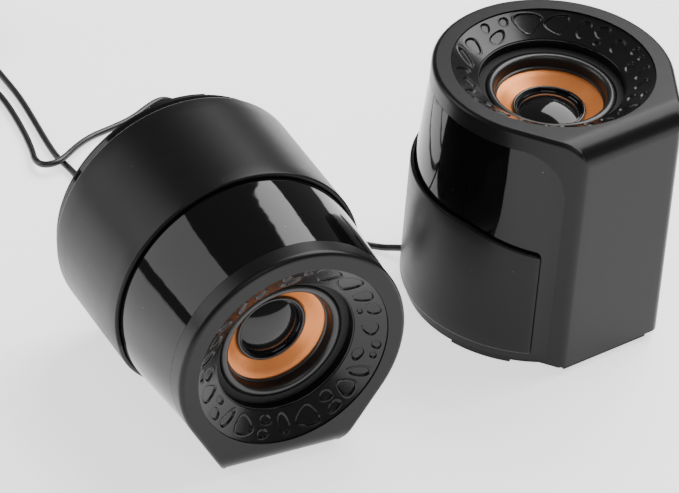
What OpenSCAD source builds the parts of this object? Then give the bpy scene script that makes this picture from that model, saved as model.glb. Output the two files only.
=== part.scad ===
// Pair of desktop speakers: a master with the amplifier and a satellite joined to it by a cord.
// Each cabinet is drawn once, standing on its back with the front up (+Z) and the sole towards -Y,
// then laid on its sole (left) or stood on its back (right). Millimetres, table top at Z = 0.

/* [Cabinet] */
// Depth of each speaker, back to front
speaker_depth = 95; // [80:1:120]
// Diameter of the round front bezel
bezel_d = 83.5; // [78:0.5:104]
// Width of the flat front rim of the bezel
rim_w = 6.6; // [5:0.1:9]
// Length of the bezel's side wall, front to back
bezel_h = 7.2; // [5:0.1:12]
// Wall of the bezel and of the sole
bezel_wall = 1.2; // [1:0.1:2]
// Bevel around the front edge of the bezel
bezel_bevel = 1.7; // [0.5:0.1:1.8]
// Radius of the sweep from the bezel into the sole
sweep_r = 14; // [6:1:20]
// Radius of the roll from the front face into the sole
front_roll = 8; // [3:0.5:9]
// How far the flat sole stands below the round bezel
sole_drop = 2.75; // [1.5:0.25:5]
// Width of the sole between its rounded edges
sole_w = 46; // [36:1:52]
// Radius of the sole's rounded edges
sole_edge_r = 4; // [2.5:0.5:6]
// Height of the sole's turned-up side flanges
flange_h = 5; // [3.5:0.5:8]
// Wall of the barrel
barrel_wall = 2.2; // [1.6:0.1:3]

/* [Rear sleeve and cover] */
// How far the rear sleeve stands outside the bezel's radius
sleeve_step = 4; // [3:0.25:6]
// Wall of the rear sleeve
sleeve_wall = 1.6; // [1.3:0.1:2.2]
// Length of the rear sleeve
sleeve_len = 47.5; // [30:0.5:52]
// Half the angle that the sleeve leaves open over the sole
sleeve_open = 38; // [36:1:60]
// How much shorter the sleeve is at its two free ends
sleeve_slant = 6; // [0:0.5:10]
// How far the rear cover stands behind the barrel
cover_lip = 3; // [2.6:0.1:5]
// Height of the foot segments on the rear cover
foot_h = 1.3; // [0.8:0.1:1.8]

/* [Driver] */
// Diameter of the throat around the driver
throat_d = 51.2; // [48:0.2:56]
// Depth of the throat's edge behind the front rim
throat_z = 6; // [4:0.5:8]
// Outside diameter of the moving cone
cone_d = 38; // [36:0.5:40]
// Outside diameter of the dust cap's dome
cap_d = 22.6; // [20:0.2:24]
// Bore of the voice coil former
coil_bore = 20; // [18:0.5:21]
// Diameter of the magnet
magnet_d = 42; // [36:1:48]
// Height of the magnet
magnet_h = 8.5; // [6:0.5:12]
// How far the cone moves each way
cone_travel = 1.5; // [0.5:0.25:1.5]

/* [Amplifier] */
// Diameter of the volume knob
knob_d = 15; // [12:0.5:20]
// Height of the volume knob
knob_h = 7; // [5:0.5:9]
// Diameter of the volume shaft
shaft_d = 6; // [5:0.5:6]
// Board width and height
board_size = [44, 34]; // [30:1:46]

/* [Cords] */
// Diameter of the USB, audio and link cords
lead_d = 2.4; // [2:0.1:3.2]

/* [Placing on the table] */
// Middle of the left speaker
left_at = [-44, -26]; // [-80:0.5:0]
// Turn of the left speaker's front towards the right
left_turn = 30; // [0:1:45]
// Axis of the right speaker
right_at = [58.5, 42]; // [0:0.5:90]
// Turn of the right speaker's sole towards the right
right_turn = 40; // [0:1:60]

/* [Hidden] */
$fn = 96;
eps = 0.01;
tangent_nip = 0.03; // sinks a tangent wall into the round one, so that they cross cleanly
fit_gap = 0.1;      // between pieces that nest without touching
slide_gap = 0.05;   // radial, running fits
sides = ["left", "right"];

bezel_r = bezel_d / 2;
recess_r = bezel_r - rim_w;
throat_r = throat_d / 2;
sole_dist = bezel_r + sole_drop;
sleeve_r = bezel_r + sleeve_step;
rim_t = 2;                        // thickness of the bezel's front rim
barrel_off = bezel_wall + fit_gap;
barrel_r = bezel_r - barrel_off;  // at the front, behind the bezel
cavity_off = barrel_off + barrel_wall;
sleeve_z = cover_lip + 3;
sleeve_front_z = sleeve_z + sleeve_len;
barrel_back_r = sleeve_r - sleeve_wall - slide_gap;

// Front rim down to the driver, as depths behind the front face
clamp_t = 1.6;                    // the trim's clamped edge
trim_wall = 1.8;
trim_edge_r = recess_r + 3;       // the trim's hidden edge
pebble_count = 26;
seat_z = throat_z + 3.5;          // where the basket's flange lies
flange_r = throat_r + 5.2;        // the basket's flange
screw_pcr = throat_r + 2.9;       // the driver screws' circle
flange_t = 1;
shelf_z = seat_z + 1.7;           // the surround's glued foot
foot_t = 0.6;
cone_r = cone_d / 2;
cone_z = seat_z + 4.3;            // the cone's outer edge
cone_slope = 0.62;
cone_t = 0.5;
cap_r = cap_d / 2;
cap_seat_r = cap_r + 1.5;
cap_h = 3.2;
bead_h = 1.1;
coil_r = coil_bore / 2;
coil_t = 0.3;
winding_t = 0.45;
neck_z = cone_z + (cone_r - coil_r - coil_t) * cone_slope;
spider_z = neck_z + 3.6;
bowl_r = throat_r - 4.2;
spider_r = bowl_r - 1.2;
plate_z = spider_z + 5;           // front face of the top plate
plate_t = 3.2;
plate_r = magnet_d / 2 - 2;
gap_r = coil_r + coil_t + winding_t + 0.35;
pole_r = coil_r - 0.35;
yoke_t = 3.4;
magnet_z = plate_z + plate_t;
yoke_z = magnet_z + magnet_h;

// Screws and bosses
boss_r = 4;
boss_at = barrel_back_r - barrel_wall - 3.5;
boss_az = [44, 136, 185, 355];
screw_r = 1.3;
head_r = 2.5;
head_h = 1.6;
core_r = screw_r;                 // the screw fills its pilot
spigot_h = 3.5;
cover_t = 2.4;
cover_z = foot_h;                 // the cover's outside face
foot_spans = [[193, 223], [317, 347], [76, 104]];
spigot_top = cover_lip + spigot_h;

// Amplifier
board_t = 1.6;
board_z = cover_lip + spigot_h + 6.5;
post_r = 2.6;
post_at = [board_size[0] / 2 - 4, board_size[1] / 2 - 4];
board_y = 6;
knob_y = 12;
pot_size = [11, 11, 6];
shaft_r = shaft_d / 2;

// Cord exits: the glands' centres on the left speaker's back and the angle on the right one
lead_xy = [-6, -25];
aux_xy = [5, -25];
link_xy = [16, -25];
gland_len = 10;
gland_r = 2.6;
link_az = 124;
link_gland_r = sleeve_r + 0.25;
link_gland_z = 3.6;
link_bore_r = 1.8;

// Point behind the left speaker's back, on the axis of one of its glands
function behind(at, out) = [
    left_at[0] + at[0] * cos(left_turn) - (out + speaker_depth / 2) * sin(left_turn),
    left_at[1] + at[0] * sin(left_turn) + (out + speaker_depth / 2) * cos(left_turn),
    at[1] + sole_dist
];
gland_out = gland_len - foot_h;   // the glands' ends behind the back
link_end_az = link_az + right_turn;
function link_end(out) = [right_at[0] + (link_gland_r + out) * cos(link_end_az),
    right_at[1] + (link_gland_r + out) * sin(link_end_az), link_gland_z];

// Coils on the table: centre, mean radius and the outer shape's section
coil_mean = 14;
tie_t = 0.8;
coil_z = tie_t + fit_gap;
usb_coil_at = [-161.5, 164];
aux_coil_at = [-161.5, 120];
link_coil_at = [-24.5, 48];
usb_rows = [3, 4];
link_rows = [3, 3];
pin_z = 23;                       // the audio plug's pin, from the end of its cord
pin_len = 14;

// Cord routes, as points on the centreline
usb_route = [behind(lead_xy, gland_out), behind(lead_xy, gland_out + 4), [-81.6, 28.6, 17.6],
    [-83.6, 34.8, 12.9], [-85.9, 41.5, 7.9], [-89, 48.5, 3.6], [-93, 58, 1.4],
    [-97.5, 69.5, 1.2], [-102.5, 81.5, 1.2], [-107.5, 88.5, 1.2],
    [-111.5, 93, 1.2], [-115.5, 100.5, 1.2], [-121, 112.5, 1.2], [-128.5, 128.5, 1.2],
    [-136.8, 141.5, 1.2], [-142.5, 151, 1.2], [-144.7, 158, 1.8]];
usb_tail = [[-164.5, 180.8, 6], [-171.5, 180.5, 6], [-179.5, 179.2, 5.2], [-186.5, 175.5, 4.4],
    [-189.5, 170, 4.2], [-190, 166, 4.2]];
aux_route = [behind(aux_xy, gland_out), behind(aux_xy, gland_out + 4), [-71.5, 33.6, 17.9],
    [-72.6, 39.4, 14], [-73.1, 46, 9],
    [-73.5, 54, 4], [-72.5, 63, 1.5], [-70.5, 74, 1.2], [-68.5, 88, 1.2], [-67, 103, 1.2],
    [-66.8, 116, 1.2], [-68, 126, 1.2], [-71.5, 133, 1.2], [-77, 135.5, 1.2],
    [-81.5, 130.5, 1.2], [-87, 121, 1.2], [-94.5, 113.5, 1.3], [-101, 107, 1.7],
    [-105.5, 98.5, 2.6], [-108.1, 91.5, 3.5], [-111.5, 86, 3.6], [-116.5, 85, 3.2], [-119.5, 89.5, 2.2],
    [-120.8, 96, 1.4], [-125, 107.5, 1.2], [-132, 122.5, 1.2], [-138, 132, 1.2],
    [-144.5, 136.3, 1.2], [-151.5, 136.8, 1.8]];
aux_tail = [[-178.3, 120, 6], [-178.5, 113, 5.6], [-178.5, 106, 4.8], [-178.5, 99, 4.3],
    [-178.5, 95, 4.2]];
link_start = [behind(link_xy, gland_out), behind(link_xy, gland_out + 4), [-61.4, 38.3, 18.3],
    [-61.3, 43, 15.6], [-60, 48.5, 10.5],
    [-56.5, 53.5, 5.2], [-51, 57, 2], [-44.5, 59.5, 1.4], [-38.5, 61.5, 1.6]];
link_end = [[-18.5, 64.3, 1.2], [-10.5, 60.5, 0.9], [-1.5, 58.2, 0.8],
    [5.2, 57, 2.3], link_end(4), link_end(0)];

// ---------- placing ----------
module placed(side) {
    if (side == "left")
        translate([left_at[0], left_at[1], sole_dist]) rotate([0, 0, left_turn])
            rotate([90, 0, 0]) translate([0, 0, -speaker_depth / 2]) children();
    else
        translate([right_at[0], right_at[1], 0]) rotate([0, 0, right_turn]) children();
}

// Turns a shape drawn by depth behind the front face into the cabinet's frame
module from_front() {
    translate([0, 0, speaker_depth]) mirror([0, 0, 1]) children();
}

// ---------- shared outlines ----------
// Outline of the cabinet's front: a circle with tangents down to a flat, rounded base
function edge_centre() = [sole_w / 2 - sole_edge_r, -(sole_dist - sole_edge_r)];
function tangent_az(r, off) =
    atan2(edge_centre()[1], edge_centre()[0])
    + acos((r - (sole_edge_r - off)) / norm(edge_centre()));

module outline(off, r = bezel_r) {
    ro = r - off;
    rc = sole_edge_r - off;
    c = edge_centre();
    rt = ro - tangent_nip;
    az = tangent_az(ro, off);
    n = [cos(az), sin(az)];
    base = -(sole_dist - off);
    right = rc > 0.3 ? [rt * n, c + (rc - tangent_nip) * n, c, [c[0], base]]
        : [rt * n, [(rt - n[1] * base) / n[0], base]];
    circle(r = ro);
    polygon(concat([[0, 0]], right,
        [for (i = [len(right) - 1:-1:0]) [-right[i][0], right[i][1]]]));
    if (rc > 0.3)
        for (x = [-c[0], c[0]])
            translate([x, c[1]]) circle(r = rc, $fn = 48);
}

module tube(r_out, r_in, h) {
    difference() {
        cylinder(r = r_out, h = h);
        translate([0, 0, -1]) cylinder(r = r_in, h = h + 2);
    }
}

// Keeps what lies behind the roll between front face and sole, inset by a wall
module rolled(inset) {
    back = speaker_depth - front_roll;
    intersection() {
        children();
        rotate([90, 0, 90]) translate([0, 0, -2 * sole_dist]) linear_extrude(4 * sole_dist) union() {
            translate([-sole_dist + inset, -1]) square([4 * sole_dist, back + 1]);
            translate([-sole_dist + front_roll, -1]) square([4 * sole_dist, speaker_depth + 2]);
            translate([-sole_dist + front_roll, back]) circle(r = front_roll - inset);
        }
    }
}

// Solid of revolution from [radius, depth] points
module turned(points) {
    from_front() rotate_extrude() polygon(points);
}

module on_circle(r, angles) {
    for (a = angles)
        rotate([0, 0, a]) translate([r, 0, 0]) children();
}

// ---------- cabinet ----------
// Region kept of the bezel's shell, seen from the side: the ring, the sole and the sweep between
module bezel_side_view() {
    ring_z = speaker_depth - bezel_h;
    sole_y = -sole_dist + flange_h;
    difference() {
        union() {
            translate([-2 * bezel_r, ring_z]) square([4 * bezel_r, bezel_h + 1]);
            translate([-2 * bezel_r, cover_lip])
                square([2 * bezel_r + sole_y, ring_z - cover_lip + eps]);
            translate([sole_y - eps, ring_z - sweep_r]) square([sweep_r + eps, sweep_r + eps]);
        }
        translate([sole_y + sweep_r, ring_z - sweep_r]) circle(r = sweep_r);
    }
}

// Bevelled front edge, drawn a little outside the wall's top so that the two merge cleanly
module bevelled_rim() {
    translate([0, 0, speaker_depth]) hull() {
        translate([0, 0, -bezel_bevel - eps]) linear_extrude(eps) outline(eps, $fn = 72);
        translate([0, 0, -eps]) linear_extrude(eps) outline(bezel_bevel * 0.8, $fn = 72);
    }
}

module front_bezel() {
    color([0.07, 0.07, 0.075])
    difference() {
        rolled(0) union() {
            intersection() {
                difference() {
                    linear_extrude(speaker_depth - bezel_bevel) outline(0);
                    rolled(bezel_wall) translate([0, 0, -1])
                        linear_extrude(speaker_depth + 1 - rim_t) outline(bezel_wall);
                }
                rotate([90, 0, 90]) translate([0, 0, -sole_dist * 2])
                    linear_extrude(sole_dist * 4) bezel_side_view();
            }
            bevelled_rim();
        }
        translate([0, 0, speaker_depth - rim_t - 1]) cylinder(r = recess_r, h = rim_t + 2);
    }
}

// Pebble-shaped pockets around the funnel: [angle, distance up the slope, length, width, turn]
function pebble_len(i) = 5.4 + 1.5 * sin(i * 137) + 0.8 * cos(i * 61);
function pebble_turn(i) = 38 * sin(i * 99 + 20);
function pebble_up(i) = 0.9 * sin(i * 171 + 40);

module pebble(len, w, depth) {
    linear_extrude(2 * depth, center = true) {
        square([len - w, w], center = true);
        for (x = [-1, 1])
            translate([x * (len - w) / 2, 0]) circle(d = w, $fn = 24);
    }
}

module funnel_trim() {
    top_r = recess_r - fit_gap;
    run = top_r - throat_r;
    drop = throat_z - 0.7;
    slope = atan2(drop, run);
    mid_r = (top_r + throat_r) / 2;
    mid_z = speaker_depth - 0.7 - drop / 2;
    color([0.04, 0.04, 0.045])
    difference() {
        union() {
            turned([[top_r, 0.7], [top_r, rim_t], [trim_edge_r, rim_t],
                [trim_edge_r, rim_t + clamp_t], [top_r - 1, rim_t + clamp_t],
                [throat_r + trim_wall, throat_z + 1.6], [throat_r + trim_wall, seat_z - 2],
                [flange_r, seat_z - 2], [flange_r, seat_z], [throat_r, seat_z],
                [throat_r, throat_z]]);
            translate([0, 0, speaker_depth - seat_z])
                on_circle(screw_pcr, [45:90:315]) cylinder(r = 2.2, h = 5, $fn = 32);
        }
        translate([0, 0, speaker_depth - seat_z - 1])
            on_circle(screw_pcr, [45:90:315]) cylinder(r = 0.9, h = 4.6, $fn = 24);
        for (i = [0:pebble_count - 1])
            rotate([0, 0, i * 360 / pebble_count]) translate([mid_r + pebble_up(i), 0, mid_z
                + pebble_up(i) * tan(slope)])
                rotate([0, -slope, 0]) rotate([0, 0, pebble_turn(i)])
                    pebble(pebble_len(i), 3.2, 0.4);
    }
}

// The cabinet's section behind its taper, where the round part is larger
module back_outline(off) {
    outline(off);
    intersection() {
        circle(r = barrel_back_r + barrel_off - off);
        translate([-2 * bezel_r, -(sole_dist - off) + tangent_nip]) square(4 * bezel_r);
    }
}

// Side view of what lies behind the bezel's wall and its sweep, down to the sole at an inset
module behind_bezel(off, z0) {
    ring_z = speaker_depth - bezel_h;
    low_y = -(sole_dist - off) + tangent_nip;
    sweep_y = -sole_dist + flange_h + sweep_r;
    difference() {
        translate([low_y, z0 - 1]) square([4 * bezel_r, ring_z - fit_gap - z0 + 1]);
        difference() {
            translate([-2 * bezel_r, ring_z - sweep_r]) square([2 * bezel_r + sweep_y, sweep_r]);
            translate([sweep_y, ring_z - sweep_r]) circle(r = sweep_r - fit_gap);
        }
    }
}

// Body behind the bezel. Its round part grows from the bezel's own radius to the sleeve
module barrel_solid(off, z0, z1, front_r = bezel_r) {
    inset = off - barrel_off;
    ring_z = speaker_depth - bezel_h;
    translate([0, 0, z0]) linear_extrude(z1 - z0) outline(off);
    intersection() {
        rotate_extrude() polygon([[0, z0], [barrel_back_r - inset, z0],
            [barrel_back_r - inset, sleeve_front_z], [front_r - inset, ring_z], [0, ring_z]]);
        rotate([90, 0, 90]) translate([0, 0, -2 * bezel_r]) linear_extrude(4 * bezel_r)
            behind_bezel(off, z0);
    }
}

module barrel(side) {
    top = speaker_depth - rim_t;
    clamp_z = top - clamp_t;
    color([0.02, 0.02, 0.022])
    rolled(barrel_off + 0.2) difference() {
        union() {
            difference() {
                barrel_solid(barrel_off, cover_lip, top);
                barrel_solid(cavity_off, cover_lip - 1, top + 1, barrel_r - 0.5);
            }
            // ring that clamps the trim's edge against the bezel
            translate([0, 0, clamp_z - 2.2]) linear_extrude(2.2) difference() {
                outline(cavity_off - 0.4);
                circle(r = recess_r + 0.4);
            }
            // screw posts
            intersection() {
                translate([0, 0, spigot_top]) on_circle(boss_at, boss_az)
                    cylinder(r = boss_r, h = 16, $fn = 40);
                barrel_solid(barrel_off + 0.5, 0, top);
            }
        }
        translate([0, 0, spigot_top - 1]) on_circle(boss_at, boss_az)
            cylinder(r = core_r, h = 10, $fn = 32);
        if (side == "right") link_bore();
    }
}

module rear_sleeve() {
    edge = 1.2;
    inner = sleeve_r - sleeve_wall;
    z1 = sleeve_front_z;
    slant_y = -0.28 * sleeve_r;
    end_y = -sleeve_r * cos(sleeve_open);
    color([0.09, 0.09, 0.095])
    difference() {
        rotate([0, 0, 270 + sleeve_open]) rotate_extrude(angle = 360 - 2 * sleeve_open)
            polygon([[inner, sleeve_z], [sleeve_r - edge, sleeve_z], [sleeve_r, sleeve_z + edge],
                [sleeve_r, z1 - edge], [sleeve_r - edge * 0.6, z1], [inner + 0.4, z1],
                [inner, z1 - 0.4]]);
        // the front edge falls back towards the sole
        translate([0, slant_y, z1]) rotate([atan2(sleeve_slant, slant_y - end_y), 0, 0])
            translate([-2 * sleeve_r, -4 * sleeve_r, 0]) cube([4 * sleeve_r, 4 * sleeve_r, sleeve_len]);
    }
}

// Round way for the link cord's gland, between the right barrel and its cover
module link_bore() {
    rotate([0, 0, link_az]) translate([barrel_back_r - 10, 0, link_gland_z]) rotate([0, 90, 0])
        cylinder(r = link_bore_r, h = 20, $fn = 40);
}

module rear_cover(side) {
    master = side == "left";
    rim_off = barrel_off + 0.8;
    spigot_off = cavity_off + 0.25;
    color([0.055, 0.055, 0.06])
    difference() {
        union() {
            translate([0, 0, cover_z]) linear_extrude(cover_lip - cover_z) back_outline(rim_off);
            translate([0, 0, cover_lip - eps]) linear_extrude(spigot_h) back_outline(spigot_off);
            for (span = foot_spans)
                rotate([0, 0, span[0]]) rotate_extrude(angle = span[1] - span[0])
                    translate([barrel_back_r - 6.3, 0]) square([5, cover_z + eps]);
            translate([-sole_w / 2 + 5, -sole_dist + rim_off, 0]) cube([sole_w - 10, 4, cover_z + eps]);
            if (master)
                for (x = [-1, 1], y = [-1, 1])
                    translate([x * post_at[0], board_y + y * post_at[1], cover_lip])
                        cylinder(r = post_r, h = board_z - cover_lip, $fn = 32);
        }
        // hollow inside of the spigot
        difference() {
            translate([0, 0, cover_z + cover_t]) linear_extrude(spigot_top) back_outline(spigot_off + 1.8);
            on_circle(boss_at, boss_az) cylinder(r = boss_r + 0.6, h = spigot_top, $fn = 40);
            if (master)
                for (x = [-1, 1], y = [-1, 1])
                    translate([x * post_at[0], board_y + y * post_at[1], 0])
                        cylinder(r = post_r, h = board_z, $fn = 32);
        }
        on_circle(boss_at, boss_az) {
            translate([0, 0, -1]) cylinder(r = screw_r + 0.2, h = spigot_top + 2, $fn = 32);
            translate([0, 0, -1]) cylinder(r = head_r + 0.4, h = cover_z + head_h + 2.6, $fn = 40);
        }
        if (master) {
            for (p = [lead_xy, aux_xy, link_xy])
                translate([p[0], p[1], -1]) cylinder(r = gland_r, h = 10, $fn = 40);
            translate([0, knob_y, -1]) cylinder(r = shaft_r + 0.5, h = 10);
            for (x = [-1, 1], y = [-1, 1])
                translate([x * post_at[0], board_y + y * post_at[1], board_z - 5])
                    cylinder(r = 0.9, h = 6, $fn = 24);
        } else
            link_bore();
    }
}

module cover_screws() {
    color([0.25, 0.25, 0.26])
    for (s = sides)
        placed(s) on_circle(boss_at, boss_az) {
            translate([0, 0, cover_z + 1.6]) cylinder(r = head_r, h = head_h, $fn = 40);
            translate([0, 0, cover_z + 1.6 + head_h]) cylinder(r = screw_r, h = 10, $fn = 32);
        }
}

// ---------- driver, drawn by depth behind the front face ----------
module gasket() {
    color([0.05, 0.05, 0.05])
        turned([[throat_r - 3, seat_z + 0.0], [throat_r - 0.3, seat_z + 0.0],
            [throat_r - 0.3, shelf_z - foot_t], [throat_r - 3, shelf_z - foot_t]]);
}

module basket() {
    inner = throat_r - 3.3;
    base = plate_z - 1;
    color([0.35, 0.35, 0.37])
    difference() {
        turned([[flange_r, seat_z], [flange_r, seat_z + flange_t],
            [throat_r + 1, seat_z + flange_t], [throat_r + 1, shelf_z + flange_t],
            [bowl_r + 1, shelf_z + flange_t], [bowl_r + 0.6, spider_z + flange_t],
            [spider_r - 2, spider_z + flange_t], [spider_r - 2, base - 0.4], [plate_r, base - 0.4],
            [plate_r, plate_z], [gap_r + 0.6, plate_z], [gap_r + 0.6, base],
            [spider_r - 3, base], [spider_r - 3, spider_z], [bowl_r - 0.4, spider_z],
            [bowl_r, shelf_z + flange_t], [inner, shelf_z + flange_t], [inner, shelf_z],
            [throat_r, shelf_z], [throat_r, seat_z]]);
        translate([0, 0, speaker_depth - seat_z - 3])
            on_circle(screw_pcr, [45:90:315]) cylinder(r = screw_r + 0.1, h = 5, $fn = 32);
        // windows between the arms
        translate([0, 0, speaker_depth - spider_z + 1.4])
            for (a = [0:90:270])
                rotate([0, 0, a]) translate([bowl_r, 0, 0])
                    cube([10, 17, 2 * (spider_z - shelf_z - 4.6)], center = true);
    }
}

module driver_screws() {
    color([0.6, 0.6, 0.62])
    for (s = sides)
        placed(s) translate([0, 0, speaker_depth - seat_z - flange_t])
            on_circle(screw_pcr, [45:90:315]) {
                cylinder(r = 0.9, h = 4.4, $fn = 24);
                translate([0, 0, -1.2]) cylinder(r = 1.9, h = 1.2, $fn = 32);
            }
}

// Half-roll of rubber with its two glued feet
module surround() {
    in_r = cone_r - 0.7;
    roll_in = cone_r + 0.2;
    roll_out = throat_r - 3.1;
    roll_mid = (roll_in + roll_out) / 2;
    half = (roll_out - roll_in) / 2;
    crest = shelf_z - half - 0.3;
    color([0.03, 0.03, 0.03])
        turned(concat(
            [[in_r, cone_z - 0.45], [in_r, cone_z]], [[roll_in, cone_z]],
            [for (a = [180:-20:0]) [roll_mid + (half - foot_t) * cos(a),
                shelf_z - 0.2 - (half - foot_t) * sin(a) * 1.1]],
            [[roll_out, shelf_z - 0.02], [throat_r - 0.4, shelf_z - 0.02],
            [throat_r - 0.4, shelf_z - foot_t + 0.02]],
            [for (a = [0:20:180]) [roll_mid + half * cos(a) + (a == 0 ? 0.01 : 0),
                min(shelf_z - foot_t + 0.02, shelf_z - 0.2 - half * sin(a) * 1.1)]],
            [[roll_in - 0.6, cone_z - 0.45]]));
}

module cone() {
    top = cone_z + 0.02;
    in_r = coil_r + coil_t;
    color([0.83, 0.42, 0.2])
        turned([[cone_r, top], [cone_r, top + cone_t], [in_r, neck_z + cone_t + 0.02],
            [in_r, neck_z + 0.02]]);
}

// Cap with a bead round its glued edge and a dome inside the bead
module dust_cap() {
    lip_z = cone_z + (cone_r - cap_seat_r) * cone_slope;
    in_z = lip_z + (cap_seat_r - cap_r) * cone_slope;
    dome_base = cap_r - 0.3;
    dome_r = (dome_base * dome_base + cap_h * cap_h) / (2 * cap_h);
    mid_z = in_z - 0.4 - cap_h + dome_r;
    half = asin(dome_base / dome_r);
    steps = 8;
    color([0.03, 0.03, 0.032])
        turned(concat(
            [[cap_seat_r, lip_z], [cap_seat_r, lip_z - 0.5], [cap_seat_r - 0.35, lip_z - bead_h],
            [cap_r + 0.35, lip_z - bead_h], [cap_r, lip_z - 0.4]],
            [for (i = [0:steps]) [dome_r * sin(half * (1 - i / steps)),
                mid_z - dome_r * cos(half * (1 - i / steps))]],
            [for (i = [0:steps]) [(dome_r - 0.4) * sin(half * i / steps),
                mid_z - (dome_r - 0.4) * cos(half * i / steps)]],
            [[cap_r, in_z]]));
}

module coil_former() {
    color([0.75, 0.6, 0.4])
        turned([[coil_r, neck_z - 0.2], [coil_r + coil_t - 0.01, neck_z - 0.2],
            [coil_r + coil_t - 0.01, plate_z + plate_t + 1.6], [coil_r, plate_z + plate_t + 1.6]]);
}

module coil_winding() {
    color([0.7, 0.35, 0.15])
        turned([[coil_r + coil_t, plate_z - 1], [coil_r + coil_t + winding_t, plate_z - 1],
            [coil_r + coil_t + winding_t, plate_z + plate_t + 1],
            [coil_r + coil_t, plate_z + plate_t + 1]]);
}

// Corrugated cloth ring that centres the coil
module spider() {
    waves = 3;
    n = 18;
    r0 = coil_r + coil_t + 0.02;
    r1 = spider_r - 0.3;
    function wave(i) = spider_z - 0.9 + (i > 1 && i < n - 2 ? 0.5 * sin(360 * waves * i / n) : 0);
    color([0.75, 0.55, 0.2])
        turned(concat(
            [for (i = [0:n]) [r0 + (r1 - r0) * i / n, wave(i)]],
            [[r1 + 1.1, spider_z - 0.9], [r1 + 1.1, spider_z - 0.02], [r1 - 2.2, spider_z - 0.02],
            [r1 - 2.2, spider_z - 0.5]],
            [for (i = [n - 4:-1:0]) [r0 + (r1 - r0) * i / n, wave(i) + 0.35]]));
}

module top_plate() {
    color([0.5, 0.5, 0.53])
        turned([[gap_r, plate_z], [plate_r, plate_z], [plate_r, magnet_z], [gap_r, magnet_z]]);
}

module magnet() {
    color([0.15, 0.15, 0.16])
        turned([[gap_r + 2, magnet_z], [magnet_d / 2, magnet_z], [magnet_d / 2, yoke_z],
            [gap_r + 2, yoke_z]]);
}

module yoke() {
    color([0.52, 0.52, 0.55])
        turned([[0, plate_z], [pole_r - 0.5, plate_z], [pole_r, plate_z + 0.5], [pole_r, yoke_z],
            [plate_r, yoke_z], [plate_r, yoke_z + yoke_t - 0.6], [plate_r - 0.6, yoke_z + yoke_t],
            [0, yoke_z + yoke_t]]);
}

// Small board on the basket's flange, with two solder tags
module terminal_strip() {
    z = speaker_depth - seat_z - flange_t;
    strip_r = throat_r + 1.1;
    color([0.45, 0.33, 0.18]) translate([0, 0, z - 1.2]) {
        translate([-7, strip_r, 0]) cube([14, 3.6, 1.2]);
        for (x = [-4.5, 3])
            translate([x, strip_r + 0.6, -3]) cube([1.5, 0.5, 3 + eps]);
    }
}

// ---------- amplifier, in the left cabinet ----------
module amp_board() {
    color([0.1, 0.35, 0.18])
    difference() {
        translate([-board_size[0] / 2, board_y - board_size[1] / 2, board_z])
            cube([board_size[0], board_size[1], board_t]);
        for (x = [-1, 1], y = [-1, 1])
            translate([x * post_at[0], board_y + y * post_at[1], board_z - 1])
                cylinder(r = 1.2, h = 4, $fn = 24);
    }
}

module board_screws() {
    color([0.6, 0.6, 0.62])
    for (x = [-1, 1], y = [-1, 1])
        translate([x * post_at[0], board_y + y * post_at[1], board_z + board_t]) {
            translate([0, 0, -board_t - 4]) cylinder(r = 0.9, h = board_t + 4.01, $fn = 24);
            cylinder(r = 2, h = 1.3, $fn = 32);
        }
}

module amp_chip() {
    color([0.08, 0.08, 0.08])
        translate([-15, board_y - 3, board_z + board_t]) cube([10, 7, 2.2]);
}

module capacitors() {
    color([0.15, 0.2, 0.5])
    for (x = [6, 15])
        translate([x, board_y - 6, board_z + board_t]) cylinder(d = 8, h = 12, $fn = 48);
}

// Potentiometer under the board, its bush passing the rear cover
module volume_pot() {
    color([0.55, 0.55, 0.58])
    translate([0, knob_y, 0]) difference() {
        union() {
            translate([-pot_size[0] / 2, -pot_size[1] / 2, board_z - pot_size[2]])
                cube(pot_size);
            translate([0, 0, cover_z + cover_t]) cylinder(r = shaft_r + 1.5,
                h = board_z - pot_size[2] - cover_z - cover_t + eps, $fn = 48);
        }
        translate([0, 0, 0]) cylinder(r = shaft_r + slide_gap, h = board_z - 1.5);
    }
}

// Knob with its shaft, outside the rear cover
module volume_knob() {
    ribs = 24;
    z0 = cover_z - 0.6;
    color([0.08, 0.08, 0.085])
    translate([0, knob_y, 0]) difference() {
        union() {
            translate([0, 0, z0 - knob_h]) cylinder(d1 = knob_d - 1.6, d2 = knob_d - 0.4, h = knob_h);
            translate([0, 0, z0 - eps]) cylinder(r = shaft_r, h = board_z - 2.5 - z0);
            for (i = [0:ribs - 1])
                rotate([0, 0, i * 360 / ribs]) translate([knob_d / 2 - 0.5, 0, z0 - knob_h + 1])
                    cylinder(r = 0.45, h = knob_h - 1.4, $fn = 16);
        }
        translate([0, knob_d / 2 - 3, z0 - knob_h - 0.5]) cube([0.9, 3.4, 1.2], center = true);
    }
}

// ---------- cords ----------
// Points of a smooth curve through a route, n steps between each two points
function spline(p, n) = [
    for (i = [0:len(p) - 2], k = [0:n - 1])
        let (a = p[max(i - 1, 0)], b = p[i], c = p[i + 1], d = p[min(i + 2, len(p) - 1)], t = k / n)
            0.5 * (2 * b + (c - a) * t + (2 * a - 5 * b + 4 * c - d) * t * t
                + (3 * b - a - 3 * c + d) * t * t * t),
    p[len(p) - 1]
];
function unit(v) = v / norm(v);

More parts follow.
